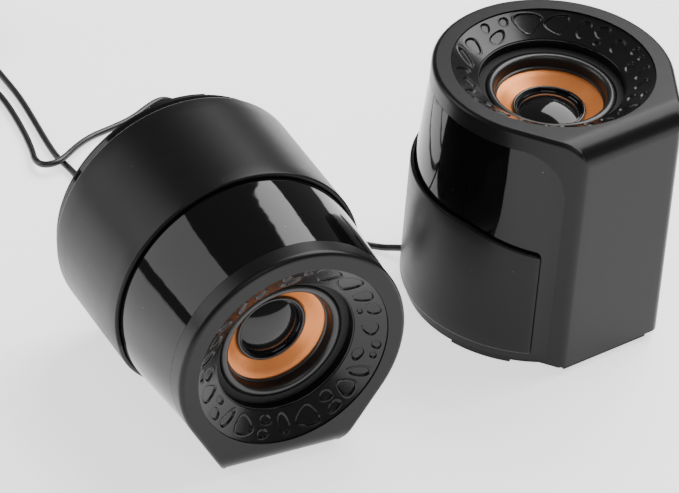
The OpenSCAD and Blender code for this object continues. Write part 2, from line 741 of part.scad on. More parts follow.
// Tube with an oval section w wide and h high, swept along a route
module swept(route, w, h, n = 2, flat = [0, 0, 1]) {
    m = 8;
    p = spline(route, n);
    last = len(p) - 1;
    rings = [
        for (i = [0:last])
            let (t = unit(p[min(i + 1, last)] - p[max(i - 1, 0)]),
                s = unit(cross(t, flat)), u = cross(s, t))
                for (k = [0:m - 1])
                    p[i] + w / 2 * cos(k * 360 / m) * s + h / 2 * sin(k * 360 / m) * u
    ];
    faces = concat(
        [[for (k = [0:m - 1]) k]],
        [for (i = [0:last - 1], k = [0:m - 1])
            [i * m + k, (i + 1) * m + k, (i + 1) * m + (k + 1) % m, i * m + (k + 1) % m]],
        [[for (k = [m - 1:-1:0]) last * m + k]]);
    polyhedron(rings, faces);
}

// Outer shape of a wound coil: rows side by side, layers on top of each other
module coil_solid(at, rows, w, h) {
    color([0.06, 0.06, 0.06])
        translate([at[0], at[1], coil_z]) rotate_extrude()
            translate([coil_mean - rows[0] * w / 2, 0]) square([rows[0] * w, rows[1] * h]);
}

// Strain relief, tapering away from the housing along +Z
module gland(len, bore_r) {
    color([0.05, 0.05, 0.05]) {
        cylinder(r = gland_r - 0.02, h = 3.4, $fn = 40);
        translate([0, 0, 3.4 - eps])
            cylinder(r1 = gland_r + 0.9, r2 = bore_r + 0.5, h = len - 3.4 + eps, $fn = 40);
    }
}

module back_gland(at) {
    placed("left") translate([at[0], at[1], cover_z + 3.4]) mirror([0, 0, 1])
        gland(gland_len + 3.4, lead_d / 2);
}

module link_gland_right() {
    color([0.05, 0.05, 0.05])
    placed("right") rotate([0, 0, link_az]) translate([barrel_back_r - 5, 0, link_gland_z])
        rotate([0, 90, 0])
            cylinder(r = link_bore_r - 0.05, h = link_gland_r - barrel_back_r + 5, $fn = 40);
}

module usb_cord() {
    color([0.06, 0.06, 0.06]) {
        swept(usb_route, lead_d, lead_d);
        swept(usb_tail, lead_d, lead_d);
    }
}

module audio_cord() {
    color([0.06, 0.06, 0.06]) {
        swept(aux_route, lead_d, lead_d);
        swept(aux_tail, lead_d, lead_d);
    }
}

module link_cord() {
    color([0.05, 0.05, 0.05]) {
        swept(link_start, lead_d, lead_d);
        swept(link_end, lead_d, lead_d);
    }
}

module usb_plug_body() {
    p = usb_tail[len(usb_tail) - 1];
    color([0.05, 0.05, 0.05]) translate(p) rotate([90, 0, 0]) {
        cylinder(r1 = lead_d / 2 + 0.5, r2 = 3, h = 8, $fn = 32);
        translate([-7.5, -4, 8 - eps]) cube([15, 8, 19]);
    }
}

module usb_plug_shell() {
    p = usb_tail[len(usb_tail) - 1];
    color([0.75, 0.75, 0.78]) translate(p) rotate([90, 0, 0]) translate([-6, -2.25, 27 - eps])
    difference() {
        cube([12, 4.5, 12]);
        translate([0.3, 0.3, 3]) cube([11.4, 1.95, 10]);
    }
}

module audio_plug_body() {
    p = aux_tail[len(aux_tail) - 1];
    color([0.05, 0.05, 0.05]) translate(p) rotate([90, 0, 0]) {
        cylinder(r1 = lead_d / 2 + 0.5, r2 = 2.4, h = 7, $fn = 32);
        translate([0, 0, 7 - eps]) cylinder(r1 = 3.6, r2 = 4, h = 16, $fn = 48);
    }
}

module audio_plug_pin() {
    p = aux_tail[len(aux_tail) - 1];
    color([0.8, 0.65, 0.3]) translate(p) rotate([90, 0, 0]) translate([0, 0, pin_z - eps]) {
        cylinder(r = 1.75, h = pin_len - 1.4, $fn = 48);
        translate([0, 0, pin_len - 1.4 - eps]) cylinder(r1 = 1.75, r2 = 0.8, h = 1.4, $fn = 48);
    }
}

// Band around the windings of each coil
module coil_tie(at, rows, w, h, az) {
    tw = rows[0] * w + 2 * fit_gap + 0.2;
    th = rows[1] * h + 2 * fit_gap;
    translate([at[0], at[1], 0]) rotate([0, 0, az]) translate([coil_mean, 0, 0])
    difference() {
        translate([-tw / 2 - tie_t, -1.5, 0]) cube([tw + 2 * tie_t, 3, th + 2 * tie_t]);
        translate([-tw / 2, -2, tie_t]) cube([tw, 4, th]);
    }
}

module coil_ties() {
    color([0.1, 0.1, 0.1]) {
        coil_tie(usb_coil_at, usb_rows, lead_d, lead_d, 300);
        coil_tie(aux_coil_at, usb_rows, lead_d, lead_d, 60);
        coil_tie(link_coil_at, link_rows, lead_d, lead_d, 250);
    }
}

// Twin wires inside each cabinet, from the gland or the board to the driver's tags
module inner_leads() {
    strip_y = throat_r + 1.95;
    tag_z = speaker_depth - seat_z - flange_t - 4.4;
    color([0.6, 0.1, 0.1]) {
        placed("left") swept([[8, board_y + 10, board_z + board_t + 0.9],
            [7, board_y + 13, board_z + 6], [5, 26, board_z + 14], [4, strip_y - 1, tag_z - 22],
            [3.5, strip_y, tag_z - 8], [3.6, strip_y, tag_z]], 1.6, 1.2, 2, [1, 0, 0]);
        placed("right") swept([[-13.5, 20, link_gland_z + 4], [-10, 22, 14], [-3, 26, 26],
            [2, strip_y - 2, tag_z - 26], [3.5, strip_y, tag_z - 8], [3.6, strip_y, tag_z]],
            1.6, 1.2, 2, [1, 0, 0]);
    }
}

// ---------- drawing ----------
for (s = sides) {
    placed(s) front_bezel();
    placed(s) funnel_trim();
    placed(s) barrel(s);
    placed(s) rear_sleeve();
    placed(s) rear_cover(s);
    placed(s) gasket();
    placed(s) basket();
    placed(s) surround();
    placed(s) cone();
    placed(s) dust_cap();
    placed(s) coil_former();
    placed(s) coil_winding();
    placed(s) spider();
    placed(s) top_plate();
    placed(s) magnet();
    placed(s) yoke();
    placed(s) terminal_strip();
}
cover_screws();
driver_screws();
inner_leads();
placed("left") amp_board();
placed("left") board_screws();
placed("left") amp_chip();
placed("left") capacitors();
placed("left") volume_pot();
placed("left") volume_knob();
back_gland(lead_xy);  // lead_gland
back_gland(aux_xy);  // aux_gland
back_gland(link_xy);  // link_gland_left
link_gland_right();
usb_cord();
coil_solid(usb_coil_at, usb_rows, lead_d, lead_d);  // usb_coil
usb_plug_body();
usb_plug_shell();
audio_cord();
coil_solid(aux_coil_at, usb_rows, lead_d, lead_d);  // audio_coil
audio_plug_body();
audio_plug_pin();
link_cord();
coil_solid(link_coil_at, link_rows, lead_d, lead_d);  // link_coil
coil_ties();
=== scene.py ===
# %% [markdown]
# # A pair of desktop speakers
# Two round-fronted cabinets in black plastic. The left one, the master, lies on the flat sole that
# hangs below its bezel. The right one stands on its back, so that the driver looks up.
# Both are the same mouldings, so each piece is made once, in millimetres round the driver's axis,
# and then laid in place twice.

# %% Frame
import math
import bpy
import numpy as np
from mathutils import Matrix, Vector


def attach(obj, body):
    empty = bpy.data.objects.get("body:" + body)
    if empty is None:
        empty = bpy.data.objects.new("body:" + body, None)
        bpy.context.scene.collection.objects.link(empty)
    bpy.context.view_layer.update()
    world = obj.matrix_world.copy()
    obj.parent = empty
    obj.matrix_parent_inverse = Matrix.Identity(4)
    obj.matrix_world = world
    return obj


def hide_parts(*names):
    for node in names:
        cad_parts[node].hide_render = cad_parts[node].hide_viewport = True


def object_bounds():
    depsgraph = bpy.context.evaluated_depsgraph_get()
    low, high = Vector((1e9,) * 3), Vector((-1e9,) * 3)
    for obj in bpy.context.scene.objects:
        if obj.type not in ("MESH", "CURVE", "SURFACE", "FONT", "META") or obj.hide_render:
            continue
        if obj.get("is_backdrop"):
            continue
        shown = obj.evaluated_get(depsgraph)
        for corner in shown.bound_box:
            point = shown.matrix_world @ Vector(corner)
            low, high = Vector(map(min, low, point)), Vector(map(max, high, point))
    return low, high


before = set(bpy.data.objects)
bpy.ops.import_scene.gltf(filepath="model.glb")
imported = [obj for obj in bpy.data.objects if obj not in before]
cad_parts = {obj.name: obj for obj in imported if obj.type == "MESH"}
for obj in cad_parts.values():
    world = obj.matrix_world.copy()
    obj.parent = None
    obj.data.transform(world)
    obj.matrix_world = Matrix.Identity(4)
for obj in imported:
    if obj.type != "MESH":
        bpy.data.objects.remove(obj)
first_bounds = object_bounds()

# %% [markdown]
# ## The sizes that everything shares
# Depths are measured back from the front face. These are the working model's own sizes, so that the
# looks fit it. SLANT is how steeply the sleeve's front edge falls back below SLANT_Y.

# %% Sizes, in millimetres
MM = 0.001
DEPTH = 95.0
BEZEL_R = 41.75
RECESS_R = 35.15
BEZEL_H = 7.2
BEVEL = 1.7
ROLL = 8.0
SWEEP = 14.0
SOLE = 44.5
SOLE_HALF = 19.0
EDGE_R = 4.0
FLANGE_Y = -39.5
SLEEVE_R = 45.75
SLEEVE_WALL = 1.6
SLEEVE_BACK = DEPTH - 6.0
SLEEVE_FRONT = DEPTH - 53.5
SLEEVE_OPEN = 38
SLANT_Y = -0.28 * SLEEVE_R
SLANT = 0.258
BARREL_R = 44.1
BARREL_INSET = 1.3
BACK_LIP = 3.0
THROAT_R = 25.6
THROAT_Z = 6.0
CONE_R = 19.0
CONE_Z = 13.8
SLOPE = 0.62
CORD_D = 2.4
COIL_R = 14
SIDES = ("left", "right")
PLACE = {
    "left": Matrix.Translation((-44, -26, SOLE)) @ Matrix.Rotation(math.radians(30), 4, "Z")
    @ Matrix.Rotation(math.radians(90), 4, "X") @ Matrix.Translation((0, 0, -DEPTH / 2)),
    "right": Matrix.Translation((58.5, 42, 0)) @ Matrix.Rotation(math.radians(40), 4, "Z"),
}

# %% [markdown]
# ## Camera
# A long lens from well above the table, level with neither cabinet, and tipped a little to one side.

# %% Camera
EL, TIP = math.radians(36.46), math.radians(5.18)
across = Vector((1, 0, 0))
upward = Vector((0, math.sin(EL), math.cos(EL)))
ahead = Vector((0, math.cos(EL), -math.sin(EL)))
cam_x = math.cos(TIP) * across + math.sin(TIP) * upward
cam_y = -math.sin(TIP) * across + math.cos(TIP) * upward
cam_data = bpy.data.cameras.new("camera")
cam_data.sensor_fit = "HORIZONTAL"
cam_data.sensor_width = 36
cam_data.lens = 324.7
cam_data.clip_end = 20
camera = bpy.data.objects.new("camera", cam_data)
turn = Matrix((cam_x, cam_y, -ahead)).transposed().to_4x4()
camera.matrix_world = Matrix.Translation((-0.0086, -1.6745, 1.2794)) @ turn
bpy.context.scene.collection.objects.link(camera)
bpy.context.scene.camera = camera

# %% [markdown]
# ## Cords
# Each cord is one soft black PVC lead of 2.4 mm. It leaves its strain relief, falls to the table and runs
# to a neat tied coil. A curve with a round bevel is how a lead is drawn: the centreline is what matters.
# A coil is wound in flat layers, inwards on one and outwards on the next, as a machine winds it.

# %% Routes
def coil_turns(centre, start_deg, turns, layers, direction, end_deg):
    """Centreline of a wound coil: flat spirals stacked on each other."""
    per_layer = turns / layers
    total = turns * 360 + (end_deg - start_deg) * direction
    steps = int(total / 15)
    half_width = CORD_D * (per_layer - 1) / 2
    lift, climb_from = 0.9, 0.9
    points = []
    for i in range(steps + 1):
        done = i / steps * turns
        layer = min(int(done / per_layer), layers - 1)
        part = done / per_layer - layer
        inward = part if layer % 2 == 0 else 1 - part
        r = COIL_R + (1 - 2 * inward) * half_width
        climb = min(1, max(0, (part - climb_from) / 0.1)) if layer < layers - 1 else 0
        z = lift + CORD_D * (0.5 + layer + climb)
        a = math.radians(start_deg + direction * total * i / steps)
        wander = 0.12 * math.sin(5.1 * a / 6.3)
        x, y = centre[0] + (r + wander) * math.cos(a), centre[1] + (r + wander) * math.sin(a)
        points.append((x, y, z))
    return points


usb_in = [(-77.3, 19.67, 19.5), (-79.3, 23.14, 19.5), (-81.6, 28.6, 17.6), (-83.6, 34.8, 12.9),
          (-85.9, 41.5, 7.9), (-89, 48.5, 3.6), (-93, 58, 1.4), (-97.5, 69.5, 1.25), (-102.5, 81.5, 1.25),
          (-107.5, 88.5, 1.25), (-111.5, 93, 1.25), (-115.5, 100.5, 1.25), (-121, 112.5, 1.25),
          (-128.5, 128.5, 1.25), (-136.8, 141.5, 1.25), (-142.5, 151, 1.5), (-144.9, 157.5, 1.9)]
usb_out = [(-171.5, 180.5, 7.5), (-179.5, 179.2, 5.4), (-186.5, 175.5, 4.4), (-189.5, 170, 4.2),
           (-190, 166, 4.2)]
aux_in = [(-67.77, 25.17, 19.5), (-69.77, 28.64, 19.5), (-71.5, 33.6, 17.9), (-72.6, 39.4, 14),
          (-73.1, 46, 9), (-73.5, 54, 4),
          (-72.5, 63, 1.5), (-70.5, 74, 1.25), (-68.5, 88, 1.25), (-67, 103, 1.25),
          (-66.8, 116, 1.25), (-68, 126, 1.25), (-71.5, 133, 1.25), (-77, 135.5, 1.25),
          (-81.5, 130.5, 1.25), (-87, 121, 1.25), (-94.5, 113.5, 1.3), (-101, 107, 1.7),
          (-105.5, 98.5, 2.8), (-108.1, 91.5, 3.7), (-111.5, 86, 3.8), (-116.5, 85, 3.2),
          (-119.5, 89.5, 2.2), (-120.8, 96, 1.4), (-125, 107.5, 1.25), (-132, 122.5, 1.25),
          (-138, 132, 1.25), (-144.5, 136.3, 1.3), (-151.5, 137, 1.8)]
aux_out = [(-178.5, 112, 7.2), (-178.5, 106, 5.4), (-178.5, 99, 4.4), (-178.5, 95, 4.2)]
link_in = [(-58.24, 30.67, 19.5), (-60.24, 34.14, 19.5), (-61.4, 38.3, 18.3), (-61.3, 43, 15.6),
           (-60, 48.5, 10.5),
           (-56.5, 53.5, 5.2), (-51, 57, 2), (-44.5, 59.5, 1.4), (-38.5, 61.3, 1.7)]
link_out = [(-11.5, 60.5, 4.4), (-4.5, 58.6, 1.8), (1.5, 57.6, 1.25), (7, 56.8, 1.4),
            (10.5, 55.8, 2.6), (14.28, 54.68, 3.6)]

# %% [markdown]
# ## Cord curves
# Each route becomes one open curve. Its length is worked out from the same points, and the curve stands
# for both the loose cord and the tied coil of the working model.

# %% Cord curves
def cord_curve(name, points):
    """One open, smooth curve through the points, as thick as the lead."""
    curve = bpy.data.curves.new(name, "CURVE")
    curve.dimensions = "3D"
    curve.bevel_depth = CORD_D / 2 * MM
    curve.bevel_resolution = 4
    curve.resolution_u = 4
    curve.use_fill_caps = True
    spline = curve.splines.new("NURBS")
    spline.points.add(len(points) - 1)
    for point, p in zip(spline.points, points):
        point.co = (p[0] * MM, p[1] * MM, p[2] * MM, 1)
    spline.order_u = 3
    spline.use_endpoint_u = True
    obj = bpy.data.objects.new(name, curve)
    bpy.context.scene.collection.objects.link(obj)
    return obj


def path_length(points):
    """Length of a route in metres."""
    return sum((Vector(b) - Vector(a)).length for a, b in zip(points, points[1:])) * MM


def metres(point):
    """A point in metres."""
    return tuple(v * MM for v in point)


usb_path = usb_in + coil_turns((-161.5, 164), -8, 12, 4, 1, 95) + usb_out
aux_path = aux_in + coil_turns((-161.5, 120), 84, 12, 4, 1, 170) + aux_out
link_path = link_in + coil_turns((-24.5, 48), 122, 9, 3, -1, 62) + link_out
paths = {"usb_lead": usb_path, "audio_lead": aux_path, "link_lead": link_path}
leads = {name: cord_curve(name, points) for name, points in paths.items()}
for name, points in paths.items():
    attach(leads[name], "cabinets")
    print(name, "is", round(path_length(points), 3), "m long")
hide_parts("usb_cord", "usb_coil")
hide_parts("audio_cord", "audio_coil")
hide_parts("link_cord", "link_coil")
metres(usb_in[0])
metres(aux_in[0])
metres(link_in[0])

# %% [markdown]
# ## Ways of making a piece
# A turned piece starts as its profile, drawn as a row of vertices, and is spun round the axis. A shaped
# piece is a grid of rows laid from edge to edge. Both are cleaned the same way: doubles merged, faces
# turned outwards, smooth shading except over real edges.

# %% Ways of making a piece
def pick(obj):
    """Selects one object alone and makes it the active one."""
    bpy.ops.object.select_all(action="DESELECT")
    obj.select_set(True)
    bpy.context.view_layer.objects.active = obj


def clean(obj, angle=35, turn_out=True):
    """Merges doubles, turns a closed piece's faces outwards and shades smooth up to an angle."""
    pick(obj)
    bpy.ops.object.mode_set(mode="EDIT")
    bpy.ops.mesh.select_all(action="SELECT")
    bpy.ops.mesh.remove_doubles(threshold=0.000004)
    if turn_out:
        bpy.ops.mesh.normals_make_consistent(inside=False)
    bpy.ops.object.mode_set(mode="OBJECT")
    bpy.ops.object.shade_smooth_by_angle(angle=math.radians(angle))
    return obj


def from_lists(name, verts, edges, faces):
    """A new mesh object from vertices in millimetres."""
    mesh = bpy.data.meshes.new(name)
    mesh.from_pydata([metres(v) for v in verts], edges, faces)
    obj = bpy.data.objects.new(name, mesh)
    bpy.context.scene.collection.objects.link(obj)
    return obj


def spun(name, profile, steps=128, closed=True, start=0.0, sweep=360.0, angle=35):
    """Spins a profile of (radius, depth) points round the axis."""
    a0 = math.radians(start)
    verts = [(r * math.cos(a0), r * math.sin(a0), DEPTH - d) for r, d in profile]
    n = len(verts)
    edges = [(i, (i + 1) % n) for i in range(n if closed else n - 1)]
    obj = from_lists(name, verts, edges, [])
    pick(obj)
    bpy.ops.object.mode_set(mode="EDIT")
    bpy.ops.mesh.select_all(action="SELECT")
    bpy.ops.mesh.spin(steps=steps, angle=math.radians(sweep), center=(0, 0, 0), axis=(0, 0, 1))
    bpy.ops.object.mode_set(mode="OBJECT")
    return clean(obj, angle)


def rows_mesh(name, rows, closed=True):
    """Joins rows of points into a sheet of quads."""
    n = len(rows[0])
    verts = [p for row in rows for p in row]
    faces = []
    for j in range(len(rows) - 1):
        for i in range(n if closed else n - 1):
            k = (i + 1) % n
            faces.append((j * n + i, (j + 1) * n + i, (j + 1) * n + k, j * n + k))
    return from_lists(name, verts, [], faces)


def modify(obj, kind, **settings):
    """Adds a modifier, sets it and applies it."""
    pick(obj)
    mod = obj.modifiers.new(kind.lower(), kind)
    for key, value in settings.items():
        setattr(mod, key, value)
    bpy.ops.object.modifier_apply(modifier=mod.name)
    return obj


def laid(side):
    """Place of a cabinet, in metres."""
    place = PLACE[side].copy()
    place.translation *= MM
    return place


def place_pair(obj, body, *nodes):
    """Lays the piece in both cabinets. Body and node names take the side's name at their end."""
    pair = {}
    for side in SIDES:
        piece = obj if side == "left" else obj.copy()
        if side == "right":
            bpy.context.scene.collection.objects.link(piece)
        pair[side] = piece
    base = obj.name
    for side, piece in pair.items():
        piece.name = base + "_" + side
        piece.matrix_world = laid(side)
        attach(piece, body if body == "cabinets" else body + "_" + side)
        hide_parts(*[node + "_" + side for node in nodes])
    return pair

# %% [markdown]
# ## Outline of the cabinet
# Seen from the front the cabinet is a circle whose two tangents run down to a flat, rounded base.
# Every shaped piece follows this one outline at its own inset.

# %% Outline
def outline(inset=0.0):
    """Points (x, y, normal x, normal y) round the outline, anticlockwise from the right tangent."""
    r = BEZEL_R - inset
    rc = EDGE_R - inset
    c = Vector((SOLE_HALF, -(SOLE - EDGE_R)))
    az = math.atan2(c.y, c.x) + math.acos((r - rc) / c.length)
    loop = []
    for i in range(145):
        a = az + (math.pi - 2 * az) * i / 144
        loop.append((r * math.cos(a), r * math.sin(a), math.cos(a), math.sin(a)))
    n = Vector((-math.cos(az), math.sin(az)))
    start, end = r * n, Vector((-c.x, c.y)) + rc * n
    for i in range(1, 14):
        p = start.lerp(end, i / 14)
        loop.append((p.x, p.y, n.x, n.y))
    for i in range(11):
        a = math.pi - az + (1.5 * math.pi - math.pi + az) * i / 10
        loop.append((-c.x + rc * math.cos(a), c.y + rc * math.sin(a), math.cos(a), math.sin(a)))
    for i in range(1, 14):
        loop.append((-c.x + 2 * c.x * i / 14, -(SOLE - inset), 0.0, -1.0))
    for i in range(11):
        a = 1.5 * math.pi + (az + 0.5 * math.pi) * i / 10
        loop.append((c.x + rc * math.cos(a), c.y + rc * math.sin(a), math.cos(a), math.sin(a)))
    n = Vector((math.cos(az), math.sin(az)))
    start, end = c + rc * n, r * n
    for i in range(1, 14):
        p = start.lerp(end, i / 14)
        loop.append((p.x, p.y, n.x, n.y))
    return loop


def roll_depth(y):
    """How far the front face lies back at height y, where it rolls over into the sole."""
    below = -(SOLE - ROLL) - y
    if below <= 0:
        return 0.0
    return ROLL - math.sqrt(max(ROLL * ROLL - below * below, 0.0))


def wall_depth(y):
    """Depth of the bezel wall's lower edge, which sweeps down before it meets the sole's flange."""
    rise = y - (FLANGE_Y + SWEEP)
    if rise >= 0:
        return BEZEL_H
    rise = max(rise, -SWEEP)
    return BEZEL_H + SWEEP - math.sqrt(max(SWEEP * SWEEP - rise * rise, 0.0))


print("outline has", len(outline()), "points")

# %% [markdown]
# ## Front bezel
# One moulding: a flat rim round the driver, a narrow side wall, and a sole that the rim rolls over into.
# The rim's outer edge is bevelled and fades out where the roll begins. It is laid as rows from the
# recess outwards, thickened inwards like a real wall, and its edges are eased.

# %% Front bezel
def bezel_sheet():
    """Rim, bevel and side wall as one sheet, then the sole below them."""
    loop = outline()
    flat, bevel, wall, sole = 14, 5, 10, 10
    rows = [[] for _ in range(flat + bevel + wall + 1)]
    for x, y, nx, ny in loop:
        w = min(1, max(0, (-ny - 0.6) / 0.4))
        b = BEVEL * (1 - w * w * (3 - 2 * w))
        px, py = x - b * nx, y - b * ny
        k = RECESS_R / math.hypot(x, y)
        ix, iy = x * k, y * k
        top = roll_depth(py)
        for i in range(flat + 1):
            s = math.sin(math.pi / 2 * i / flat)
            qy = iy + (py - iy) * s
            rows[i].append((ix + (px - ix) * s, qy, DEPTH - roll_depth(qy)))
        for i in range(1, bevel + 1):
            a = math.pi / 2 * i / bevel
            s = b * (1 - math.sin(a))
            rows[flat + i].append((x - s * nx, y - s * ny, DEPTH - top - BEVEL * (1 - math.cos(a))))
        z0, z1 = top + BEVEL, wall_depth(y)
        for i in range(1, wall + 1):
            rows[flat + bevel + i].append((x, y, DEPTH - z0 - (z1 - z0) * i / wall))
    obj = rows_mesh("bezel", rows)
    base = [(x, y) for x, y, *_ in loop if y <= FLANGE_Y + 0.35]
    z0, z1 = BEZEL_H + SWEEP, DEPTH - BACK_LIP
    lower = [[(x, y, DEPTH - z0 - (z1 - z0) * i / sole) for x, y in base] for i in range(sole + 1)]
    lower[0] = [(x, y, DEPTH - wall_depth(y)) for x, y in base]
    lap = rows_mesh("sole", lower, closed=False)
    pick(obj)
    lap.select_set(True)
    bpy.ops.object.join()
    return clean(obj, 35, turn_out=False)


bezel = bezel_sheet()
modify(bezel, "SOLIDIFY", thickness=1.2 * MM, offset=-1, use_even_offset=False)
modify(bezel, "BEVEL", width=0.22 * MM, segments=2, limit_method="ANGLE", angle_limit=math.radians(50))
clean(bezel, 35)
print("bezel has", len(bezel.data.polygons), "faces")

# %% [markdown]
# ## Barrel
# The glossy body behind the bezel. Its round part grows from the bezel back to the sleeve, so that the
# sleeve's front edge stands only just proud of it.

# %% Barrel
def barrel_rows(inset):
    """Rows of the barrel's wall from the clamp ring to the back, flush behind the bezel's wall."""
    taper = (0.0, 0.12, 0.3, 0.5, 0.75, 1.0)
    growth = BARREL_R - BEZEL_R
    columns = []
    for x, y, *_ in outline(inset):
        edge = wall_depth(y) + 0.1
        column = [(x, y, max(d, roll_depth(y - 1.5) + 2.0)) for d in (3.0, 5.0)] + [(x, y, edge)]
        depths = [edge + (SLEEVE_FRONT - edge) * t for t in taper] + [50, 60, 70, 80, DEPTH - BACK_LIP]
        for d in depths:
            r = BARREL_R - growth * max(0.0, (SLEEVE_FRONT - d) / (SLEEVE_FRONT - BEZEL_H))
            k = max(1.0, r / math.hypot(x, y))
            column.append((x * k, max(y * k, -(SOLE - inset)), d))
        columns.append(column)
    return [[(c[j][0], c[j][1], DEPTH - c[j][2]) for c in columns] for j in range(len(columns[0]))]


barrel = clean(rows_mesh("barrel", barrel_rows(BARREL_INSET)), 40, turn_out=False)
modify(barrel, "SOLIDIFY", thickness=2.0 * MM, offset=-1)
clean(barrel, 40)

# %% [markdown]
# ## Rear sleeve
# A C-shaped shell round the back half. Its front edge is a soft lip just proud of the barrel. Towards
# the sole that edge falls back, and the free ends are rounded over. It is spun through part of a turn,
# closed at both ends, and then its front edge and ends are shaped vertex by vertex.

# %% Rear sleeve
def sleeve_profile():
    """Section of the shell: a rounded back edge and a rounded front lip."""
    back, front, inner = SLEEVE_BACK, SLEEVE_FRONT, SLEEVE_R - SLEEVE_WALL
    back_edge, lip = 1.2, 0.8
    prof = [(inner, back), (SLEEVE_R - back_edge, back)]
    prof += [(SLEEVE_R - back_edge + back_edge * math.sin(a), back - back_edge + back_edge * math.cos(a))
             for a in [math.radians(15 * i) for i in range(1, 7)]]
    prof += [(SLEEVE_R, back - back_edge - (back - front - back_edge - lip) * i / 8) for i in range(1, 8)]
    prof += [(SLEEVE_R - lip + lip * math.cos(a), front + lip - lip * math.sin(a))
             for a in [math.radians(15 * i) for i in range(7)]]
    prof += [(inner + 0.35, front), (inner, front + 0.35)]
    return prof + [(inner, front + (back - front) * i / 8) for i in range(1, 8)]


def eased(x, y, z):
    """Moves a point of the sleeve: its front edge falls back near the sole, its free ends are rounded."""
    r, corner = math.hypot(x, y), 2.2
    from_sole = math.degrees(math.acos(max(-1, min(1, -y / r))))
    from_end = math.radians(from_sole - SLEEVE_OPEN) * SLEEVE_R
    near = max(0.0, corner - max(from_end, 0.0))
    ease = corner - math.sqrt(max(corner * corner - near * near, 0.0))
    drop = max(0.0, SLANT_Y - y) * SLANT + 0.7 * ease
    part = (z - (DEPTH - SLEEVE_BACK)) / (SLEEVE_BACK - SLEEVE_FRONT)
    outside = max(0.0, min(1.0, (r - (SLEEVE_R - SLEEVE_WALL)) / SLEEVE_WALL))
    k = 1 - 0.5 * ease / r * outside
    return x * k, y * k, z - drop * part


def rear_sleeve():
    """Shell spun through part of a turn, closed at both ends and shaped."""
    obj = spun("sleeve", sleeve_profile(), steps=426, start=270 - SLEEVE_OPEN,
               sweep=360 - 2 * SLEEVE_OPEN, angle=30)
    bpy.ops.object.mode_set(mode="EDIT")
    bpy.ops.mesh.select_all(action="DESELECT")
    bpy.ops.mesh.select_non_manifold()
    bpy.ops.mesh.edge_face_add()
    bpy.ops.object.mode_set(mode="OBJECT")
    for v in obj.data.vertices:
        v.co = Vector(eased(*(v.co / MM))) * MM
    return obj


sleeve = rear_sleeve()
modify(sleeve, "BEVEL", width=0.2 * MM, segments=2, limit_method="ANGLE", angle_limit=math.radians(60))
clean(sleeve, 30)
print("sleeve has", len(sleeve.data.polygons), "faces")

# %% [markdown]
# ## Funnel trim
# A funnel between the rim and the driver with a ring of pebble-shaped pockets pressed into its slope.
# The pebbles differ in size and lean, so each is given one by one: angle, distance from the axis, half
# width round the ring, half height up the slope, lean and how egg-shaped it is. The slope is pressed down
# inside each pebble and raised a touch along its rim.

# %% Pebbles
PEBBLES = [
    (129, 30.5, 1.5, 4.1, 35, 0.1), (115, 30.4, 2.5, 3.3, 12, 0.2), (97, 32.8, 1.6, 1.8, 20, 0.1),
    (83, 32.8, 1.6, 1.5, 0, 0.0), (93, 28.6, 3.4, 1.9, -14, 0.25), (68, 30.8, 4.2, 3.9, 8, 0.45),
    (48, 30.3, 3.9, 3.7, -28, 0.5), (31, 30.4, 2.3, 3.5, 10, 0.15), (18, 27.6, 1.3, 0.9, 0, 0.0),
    (18.5, 31.6, 2.7, 2.4, -28, 0.2), (3, 30.0, 2.6, 2.9, 24, 0.25), (351, 32.6, 1.5, 1.7, 10, 0.1),
    (341, 28.2, 2.4, 1.7, 20, 0.2), (343.5, 32.7, 1.1, 1.2, 0, 0.0), (330, 31.2, 1.6, 3.5, -30, 0.1),
    (317, 30.8, 2.5, 3.0, -12, 0.35), (304, 28.4, 2.1, 1.7, 14, 0.1), (304, 32.6, 2.4, 1.4, -8, 0.1),
    (287, 30.5, 3.7, 3.6, 22, 0.45), (270, 30.2, 2.0, 3.6, -8, 0.1), (257, 28.3, 2.0, 1.5, 6, 0.1),
    (255, 32.5, 1.9, 1.4, -10, 0.0), (240, 30.4, 3.3, 3.4, -18, 0.35), (225.5, 30.6, 1.5, 3.9, 26, 0.1),
    (213, 32.0, 2.3, 2.0, -6, 0.2), (211, 27.9, 1.8, 1.2, 0, 0.0), (197, 30.3, 2.8, 3.5, 18, 0.4),
    (183, 29.2, 2.1, 2.2, -20, 0.2), (180, 33.0, 2.0, 1.1, 0, 0.0), (168.5, 31.2, 1.5, 3.2, -30, 0.1),
    (157, 29.6, 2.7, 2.5, 22, 0.25), (144.5, 30.7, 1.5, 3.3, -36, 0.1),
]


def pebble_height(angle, up):
    """Height of the slope's surface at an angle and a distance up the slope, in millimetres."""
    best = np.full(angle.shape, 9.0)
    span = math.hypot(RECESS_R - 0.1 - THROAT_R, THROAT_Z - 0.7)
    for az, r, half_w, half_h, lean, egg in PEBBLES:
        mid = (r - THROAT_R) / (RECESS_R - THROAT_R) * span
        da = (angle - math.radians(az) + math.pi) % (2 * math.pi) - math.pi
        u, v = da * r, up - mid
        c, s = math.cos(math.radians(lean)), math.sin(math.radians(lean))
        u, v = c * u + s * v, c * v - s * u
        width = half_w * (1 + egg * np.clip(v / half_h, -1, 1))
        e = (np.abs(u / width) ** 2.3 + np.abs(v / half_h) ** 2.3) ** (1 / 2.3)
        best = np.minimum(best, (e - 1) * min(half_w, half_h))
    t = np.clip((0.1 - best) / 0.42, 0, 1)
    pressed = t * t * (3 - 2 * t)
    return 0.07 * np.exp(-((best - 0.22) / 0.2) ** 2) - 0.5 * pressed

# %% [markdown]
# ## The funnel's sheet
# The slope is one fine sheet of rows from the rim down to the throat, pushed in or out by the pebbles'
# height. Below it the throat's edge is rounded and runs straight down to the driver.

